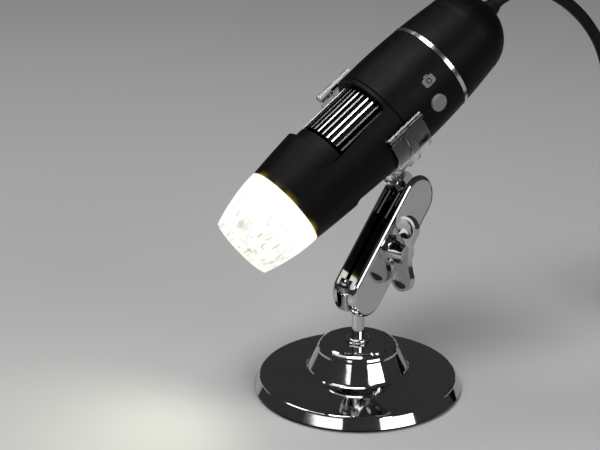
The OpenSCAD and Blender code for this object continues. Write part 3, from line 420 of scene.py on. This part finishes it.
def bump(tree, source, depth_mm, shader):
    """Relief of that depth on the whole surface."""
    node = tree.nodes.new("ShaderNodeBump")
    node.inputs["Strength"].default_value = BUMP_STRENGTH
    node.inputs["Distance"].default_value = depth_mm * MM
    tree.links.new(source, node.inputs["Height"])
    tree.links.new(node.outputs["Normal"], shader.inputs["Normal"])


def scope_coords(tree, scope, stretch=(1, 1, 1)):
    """Coordinates in the microscope's frame, from the nose rim along its axis."""
    inverse = scope.inverted()
    coords = tree.nodes.new("ShaderNodeTexCoord")
    turn = tree.nodes.new("ShaderNodeMapping")
    turn.inputs["Location"].default_value = inverse.to_translation()
    turn.inputs["Rotation"].default_value = inverse.to_euler()
    tree.links.new(coords.outputs["Object"], turn.inputs["Vector"])
    scale = tree.nodes.new("ShaderNodeMapping")
    scale.inputs["Scale"].default_value = stretch
    tree.links.new(turn.outputs["Vector"], scale.inputs["Vector"])
    return scale.outputs["Vector"]


def along_scope(tree, scope, start_mm, end_mm):
    """0 at one place along the microscope, 1 at another."""
    split = tree.nodes.new("ShaderNodeSeparateXYZ")
    tree.links.new(scope_coords(tree, scope), split.inputs["Vector"])
    return map_range(tree, split.outputs["Z"], (start_mm * MM, end_mm * MM))


# Materials


def surface(name, dark, light, roughness, grain, depth_mm, **sockets):
    """Surface with wandering colour and roughness and a fine grain."""
    material, tree, shader = new_material(name)
    set_sockets(shader, **sockets)
    cloud = noise(tree, grain / CLOUD_RATIO)
    tree.links.new(shade(tree, cloud, dark, light), shader.inputs["Base Color"])
    tree.links.new(map_range(tree, cloud, NOISE_RANGE, roughness), shader.inputs["Roughness"])
    bump(tree, noise(tree, grain), depth_mm, shader)
    return material


def clear_plastic(name, tint, roughness):
    """Moulded clear plastic with faint flow waves."""
    material, tree, shader = new_material(name)
    set_sockets(shader, Base_Color=(*tint, 1), Transmission_Weight=1.0, IOR=PLASTIC_IOR)
    cloud = noise(tree, CLEAR_CLOUD)
    tree.links.new(map_range(tree, cloud, NOISE_RANGE, roughness), shader.inputs["Roughness"])
    bump(tree, noise(tree, CLEAR_WAVES, CLEAR_WAVE_DETAIL), CLEAR_DEPTH_MM, shader)
    return material


def lit_nose(scope):
    """Clear nose with a painted glow, as if flooded by its lamps: white, with fine grey streaks painted into the
    glow and a warm root.
    """
    material, tree, shader = new_material("lit_nose")
    set_sockets(
        shader, Base_Color=(*NOSE_BASE, 1), Transmission_Weight=NOSE_TRANSMISSION, IOR=PLASTIC_IOR,
        Roughness=NOSE_ROUGHNESS, Emission_Strength=NOSE_GLOW)
    depth = along_scope(tree, scope, 0, NOSE_LENGTH_MM)
    streaks = []
    layers = []
    for scale, stretch, (low, high), tone in NOSE_MARKS:
        streak = noise(tree, scale, MARK_DETAIL, scope_coords(tree, scope, stretch))
        streaks.append(streak)
        layers.append(ramp(tree, streak, [(low, tone), (high, WHITE)]))
    marks = layers[0]
    for layer in layers[1:]:
        marks = multiply(tree, marks, layer)
    fade = map_range(tree, depth, FADE_STRETCH, FADE_STRENGTH)
    # Painted glow: the emission colour, darkened by the painted streaks, makes the nose glow though it is no lamp
    lit = multiply(tree, ramp(tree, depth, NOSE_TONES), marks, fade)
    tree.links.new(lit, shader.inputs["Emission Color"])
    bump(tree, streaks[0], MARK_DEPTH_MM, shader)
    return material


def seam_lit_body(scope):
    """Black plastic of the front shell, with a painted glow of warm light leaking through its edge at the nose."""
    material = surface("front_body", **BODY)
    tree = material.node_tree
    shader = tree.nodes["Principled BSDF"]
    # Painted glow: emission on the shell stands in for the leaking light
    set_sockets(shader, Emission_Strength=SEAM_GLOW)
    leak = along_scope(tree, scope, NOSE_LENGTH_MM, NOSE_LENGTH_MM + SEAM_GLOW_MM)
    tone = ramp(tree, leak, SEAM_TONES)
    spots = ramp(tree, noise(tree, SPOT_SCALE, detail=0.0), SPOT_TONES)
    tree.links.new(multiply(tree, tone, spots), shader.inputs["Emission Color"])
    return material


def ribbed_chrome(scope):
    """Polished rib tips that stand out of grooves darkened by painted shade."""
    material = surface("ribbed_chrome", **RIBBED)
    tree = material.node_tree
    base = tree.nodes["Principled BSDF"].inputs["Base Color"]
    from_axis = tree.nodes.new("ShaderNodeVectorMath")
    from_axis.operation = "LENGTH"
    tree.links.new(scope_coords(tree, scope, (1, 1, 0)), from_axis.inputs[0])
    groove = ((WHEEL_R_MM - RIB_DEPTH_MM) * MM, WHEEL_R_MM * MM)
    height = map_range(tree, from_axis.outputs["Value"], groove)
    metal = base.links[0].from_socket
    # Painted shade: the chrome's colour darkens from the rib tips down into the grooves
    tree.links.new(multiply(tree, metal, ramp(tree, height, GROOVE_SHADE_TONES)), base)
    return material


def lit_lamp():
    """Lamp body that glows."""
    material, tree, shader = new_material("lit_lamp")
    set_sockets(shader, Roughness=LAMP_ROUGHNESS, Emission_Strength=LAMP_GLOW)
    glow = shade(tree, noise(tree, LAMP_CLOUD), *LAMP_TONES)
    tree.links.new(glow, shader.inputs["Emission Color"])
    return material


def make_materials(scope):
    """All materials, by slot or by the name of a finish."""
    materials = {slot: surface(name, **values) for slot, (name, values) in SURFACES.items()}
    for slot, (tint, roughness) in CLEAR_SURFACES.items():
        materials[slot] = clear_plastic(slot, tint, roughness)
    materials["nose_plastic"] = lit_nose(scope)
    materials["front_body"] = seam_lit_body(scope)
    materials["ribbed_chrome"] = ribbed_chrome(scope)
    materials["lamp"] = lit_lamp()
    return materials


def dress_nodes(materials):
    """Give each node of the frame the material of its slot."""
    for part in frame["record"]["subparts"]:
        mesh = frame["nodes"][part["node"]].data
        mesh.materials.clear()
        mesh.materials.append(materials[FINISHES.get(part["node"], part["material_slot"])])


# Meshes


def add_mesh(name, mesh_data, material, body):
    """Link a finished mesh as a piece that rides on a body."""
    mesh = bpy.data.meshes.new(name)
    mesh_data.to_mesh(mesh)
    mesh_data.free()
    mesh.materials.append(material)
    piece = add_object(name, mesh)
    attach(piece, body)
    return piece


def join_rings(data, first, second):
    """Faces between two closed rings with as many points each."""
    return [
        data.faces.new((first[k - 1], first[k], second[k], second[k - 1]))
        for k in range(len(first))
    ]


def quarter_arc(x, z, radius, start=0):
    """Points of a quarter circle round (x, z), from an angle in degrees."""
    angles = [math.radians(start + a) for a in range(0, 91, ARC_STEP)]
    return [(x + radius * math.cos(a), z + radius * math.sin(a)) for a in angles]


# Camera sign


def barrel_point(scope, z, turn, lift):
    """Point on the barrel, turn counted from the button's side toward the near window."""
    radius = SCOPE_R_MM - (z - BELLY_Z_MM) ** 2 / (2 * CROWN_REAR_MM) + lift
    return scope @ (Vector((-radius * math.sin(turn), -radius * math.cos(turn), z)) * MM)


def rounded_edge(angle, half_w, half_h):
    """Edge of a round-cornered plate in that direction from its middle."""
    c = math.cos(angle)
    s = math.sin(angle)
    power = SIGN_CORNER_POWER
    reach = (abs(c / half_w) ** power + abs(s / half_h) ** power) ** (-1 / power)
    return reach * c, reach * s


def make_sign(scope, material):
    """Generic camera sign: case with a lens ring and a finder on top, printed on the barrel."""
    data = bmesh.new()

    def outline(points):
        return [
            data.verts.new(barrel_point(scope, SIGN_Z_MM + u, SIGN_TURN + v / SCOPE_R_MM, SIGN_LIFT_MM))
            for u, v in points
        ]

    steps = [2 * math.pi * i / SIGN_SIDES for i in range(SIGN_SIDES)]
    case = [rounded_edge(a, SIGN_W_MM / 2, SIGN_H_MM / 2) for a in steps]
    hole = [(SIGN_LENS_MM * math.cos(a), SIGN_LENS_MM * math.sin(a)) for a in steps]
    glass = [(SIGN_GLASS_SHARE * u, SIGN_GLASS_SHARE * v) for u, v in hole]
    low = SIGN_H_MM / 2 + FINDER_GAP_MM
    high = low + FINDER_H_MM
    finder = [(-FINDER_FOOT_MM, low), (FINDER_FOOT_MM, low), (FINDER_TOP_MM, high), (-FINDER_TOP_MM, high)]
    join_rings(data, outline(case), outline(hole))
    data.faces.new(outline(glass))
    data.faces.new(outline(finder))
    bmesh.ops.recalc_face_normals(data, faces=data.faces)
    sign = add_mesh("camera_sign", data, material, "microscope")
    thickness = sign.modifiers.new("print", "SOLIDIFY")
    thickness.thickness = SIGN_LIFT_MM * MM


# Post collar


def make_collar(material):
    """Turned chrome collar that stands on the hub round the post, with a rounded shoulder."""
    top_of_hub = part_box("base_cover")[1][2] / MM
    shoulder = quarter_arc(COLLAR_R_MM - COLLAR_ROUND_MM, COLLAR_H_MM - COLLAR_ROUND_MM, COLLAR_ROUND_MM)
    profile = [(POST_R_MM, 0), (COLLAR_R_MM, 0)] + shoulder + [(POST_R_MM, COLLAR_H_MM)]
    data = bmesh.new()
    rings = []
    for i in range(COLLAR_SIDES):
        angle = 2 * math.pi * i / COLLAR_SIDES
        rings.append([
            data.verts.new(Vector((r * math.cos(angle), r * math.sin(angle), top_of_hub + z)) * MM)
            for r, z in profile
        ])
    for i, ring in enumerate(rings):
        for k, face in enumerate(join_rings(data, rings[i - 1], ring)):
            face.smooth = 1 < k < len(profile) - 1
    bmesh.ops.recalc_face_normals(data, faces=data.faces)
    add_mesh("post_collar", data, material, "base")


# Coil tie


def tie_line():
    """Line of the strap in (radius, height): once round the bundle, then its tail outside."""
    half = TIE_T_MM / 2
    inside = COIL_INNER_R_MM - CORD_D_MM / 2
    low = math.sqrt(inside ** 2 - TIE_W_MM ** 2 / 4) - TIE_SIDE_GAP_MM - half
    high = COIL_OUTER_R_MM + CORD_D_MM / 2 + TIE_SIDE_GAP_MM + half
    top = COIL_FOOT_MM + (COIL_LAYERS - 1) * COIL_RISE_MM + CORD_D_MM / 2 + TIE_TOP_GAP_MM + half
    r = TIE_CORNER_MM
    foot = half + r
    start = foot + TIE_LAP_MM
    line = [(high, start)]
    line += quarter_arc(high - r, top - r, r, 0)
    line += quarter_arc(low + r, top - r, r, 90)
    line += quarter_arc(low + r, foot, r, 180)
    line += quarter_arc(high - r, foot, r, 270)
    line += [(high + TIE_T_MM * t, start + TIE_STEP_MM * t) for t in TIE_STEP_SHARES]
    line += [(high + TIE_T_MM, start + TIE_TAIL_MM * t) for t in TIE_TAIL_SHARES]
    return line


def tie_section():
    """Section of the strap in (thickness, width), with rounded edges."""
    half_w = TIE_W_MM / 2
    half_t = TIE_T_MM / 2
    section = []
    for side in (1, -1):
        section += [(side * half_t, -side * half_w * k) for k in TIE_FACE_SHARES]
        section += [(side * half_t * TIE_EDGE_SHARE, side * half_w)]
    return section


def make_tie(material, angle):
    """Hook-and-loop strap: a band with rounded edges, swept along its line."""
    line = tie_line()
    section = tie_section()
    turn = Matrix.Translation((*COIL_AT_MM, 0)) @ Matrix.Rotation(angle, 4, "Z")
    data = bmesh.new()
    rings = []
    for i, (r, z) in enumerate(line):
        before = line[max(0, i - 1)]
        after = line[min(len(line) - 1, i + 1)]
        along = Vector((after[0] - before[0], 0, after[1] - before[1])).normalized()
        out = Vector((along.z, 0, -along.x))
        centre = Vector((r, 0, z))
        rings.append([
            data.verts.new((turn @ (centre + out * t + Vector((0, w, 0)))) * MM)
            for t, w in section
        ])
    for first, second in zip(rings, rings[1:]):
        join_rings(data, first, second)
    data.faces.new(rings[0])
    data.faces.new(rings[-1])
    bmesh.ops.recalc_face_normals(data, faces=data.faces)
    for face in data.faces:
        face.smooth = True
    tie = add_mesh("tie_strap", data, material, "microscope")
    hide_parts("coil_tie")
    return tie


# Cord


def coil_point(turn):
    """Centre of the cord after that many turns from the outside of the lowest layer."""
    layer_turn = COIL_TURNS + CLIMB_TURN
    layer = min(COIL_LAYERS - 1, int(turn / layer_turn))
    inside = turn - layer * layer_turn
    run = COIL_PITCH_MM * min(COIL_TURNS, inside)
    radius = COIL_OUTER_R_MM - run if layer % 2 == 0 else COIL_INNER_R_MM + run
    climb = layer + max(0, inside - COIL_TURNS) / CLIMB_TURN
    angle = COIL_START - 2 * math.pi * turn
    return Vector((
        COIL_AT_MM[0] + radius * math.cos(angle),
        COIL_AT_MM[1] + radius * math.sin(angle),
        COIL_FOOT_MM + COIL_RISE_MM * climb,
    ))


def spline(a, b, c, d, t):
    """Smooth curve from b to c, with a before them and d after them."""
    slope = c - a
    bend = 2 * a - 5 * b + 4 * c - d
    twist = 3 * b - a - 3 * c + d
    return 0.5 * (2 * b + slope * t + bend * t * t + twist * t ** 3)


def cord_path(scope):
    """Centre line of the whole cord in metres, from the relief to the plug."""
    scope_dir = scope.to_3x3() @ Vector((0, 0, 1))
    tail = scope @ Vector((0, 0, (SCOPE_LENGTH_MM + RELIEF_LENGTH_MM) * MM)) / MM
    start_dir = Vector((math.sin(COIL_START), -math.cos(COIL_START), 0))
    end_dir = Vector((math.sin(COIL_END), -math.cos(COIL_END), 0))
    end_out = Vector((math.cos(COIL_END), math.sin(COIL_END), 0))
    coil_first = coil_point(0) - COIL_LEAD_MM * start_dir
    half = CORD_D_MM / 2
    route = [tail + half * scope_dir]
    route += [Vector(p) for p in ROUTE_MIDDLE_MM]
    route += [coil_first - half * start_dir]
    ends = [route[0] - CORD_D_MM * scope_dir] + route + [route[-1] + 2 * CORD_D_MM * start_dir]
    path = [tail]
    for i in range(1, len(ends) - 2):
        path += [spline(*ends[i - 1:i + 3], t / ROUTE_STEPS) for t in range(ROUTE_STEPS)]
    path += [route[-1], coil_first]
    steps = round(COIL_TOTAL * COIL_STEPS)
    path += [coil_point(COIL_TOTAL * i / steps) for i in range(steps + 1)]
    last = path[-1].copy()
    for i in range(1, LEAD_STEPS + 1):
        angle = math.pi / 2 * i / LEAD_STEPS
        over = Vector((0, 0, PLUG_RISE_MM * (1 - math.cos(2 * angle)) / 2))
        around = (math.cos(angle) - 1) * end_out + math.sin(angle) * end_dir
        path.append(last + LEAD_R_MM * around + over)
    path.append(path[-1] - COIL_LEAD_MM * end_out)
    return [p * MM for p in path]


def make_cord(scope, material):
    """Cord from the relief through its coil to the plug."""
    path = cord_path(scope)
    data = bpy.data.curves.new("cord", "CURVE")
    data.dimensions = "3D"
    data.bevel_depth = CORD_D_MM / 2 * MM
    data.bevel_resolution = CORD_ROUNDNESS
    data.use_fill_caps = True
    line = data.splines.new("POLY")
    line.points.add(len(path) - 1)
    for point, place in zip(line.points, path):
        point.co = (*place, 1)
    line.use_smooth = True
    cord = add_object("cord", data)
    data.materials.append(material)
    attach(cord, "microscope")
    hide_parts("cord_free", "cord_coil")


# Stage and light


def make_floor():
    bpy.ops.mesh.primitive_plane_add(size=FLOOR_SIZE)
    floor = bpy.context.object
    floor.name = "floor"
    floor.location = (0, 0, 0)
    material, _, shader = new_material("floor_paper")
    set_sockets(shader, Base_Color=(*grey(FLOOR_TONE), 1), Roughness=FLOOR_ROUGHNESS)
    floor.data.materials.append(material)


def make_world():
    world = bpy.data.worlds.new("studio")
    bpy.context.scene.world = world
    world.use_nodes = True
    backdrop = world.node_tree.nodes["Background"]
    set_sockets(backdrop, Color=(*grey(WORLD_TONE), 1), Strength=1.0)


def make_soft_boxes():
    for name, place, size, power in SOFT_BOXES:
        data = bpy.data.lights.new(name, "AREA")
        data.shape = "RECTANGLE"
        data.size, data.size_y = size
        data.energy = power
        aim(add_object(name, data), place, LIGHT_TARGET - Vector(place))


def make_beam(scope):
    """Spot lamp at the nose's mouth that makes the pool of light on the floor."""
    beam = bpy.data.lights.new("nose_beam", "SPOT")
    beam.energy = BEAM_POWER
    beam.color = BEAM_COLOUR
    beam.spot_size = BEAM_ANGLE
    beam.spot_blend = BEAM_BLEND
    beam.shadow_soft_size = BEAM_RADIUS
    lamp = add_object("nose_beam", beam)
    lamp.matrix_world = scope @ Matrix.Translation((0, 0, -BEAM_BEFORE_RIM))
    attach(lamp, "microscope")


def main():
    bpy.context.scene.view_settings.view_transform = "Standard"
    scope = scope_matrix()
    make_camera()
    materials = make_materials(scope)
    tie = make_tie(materials["strap"], COIL_END + math.pi / 2)
    make_cord(scope, materials["black_soft"])
    dress_nodes(materials)
    make_sign(scope, materials["print"])
    make_collar(materials["chrome"])
    make_floor()
    make_world()
    make_soft_boxes()
    make_beam(scope)


main()
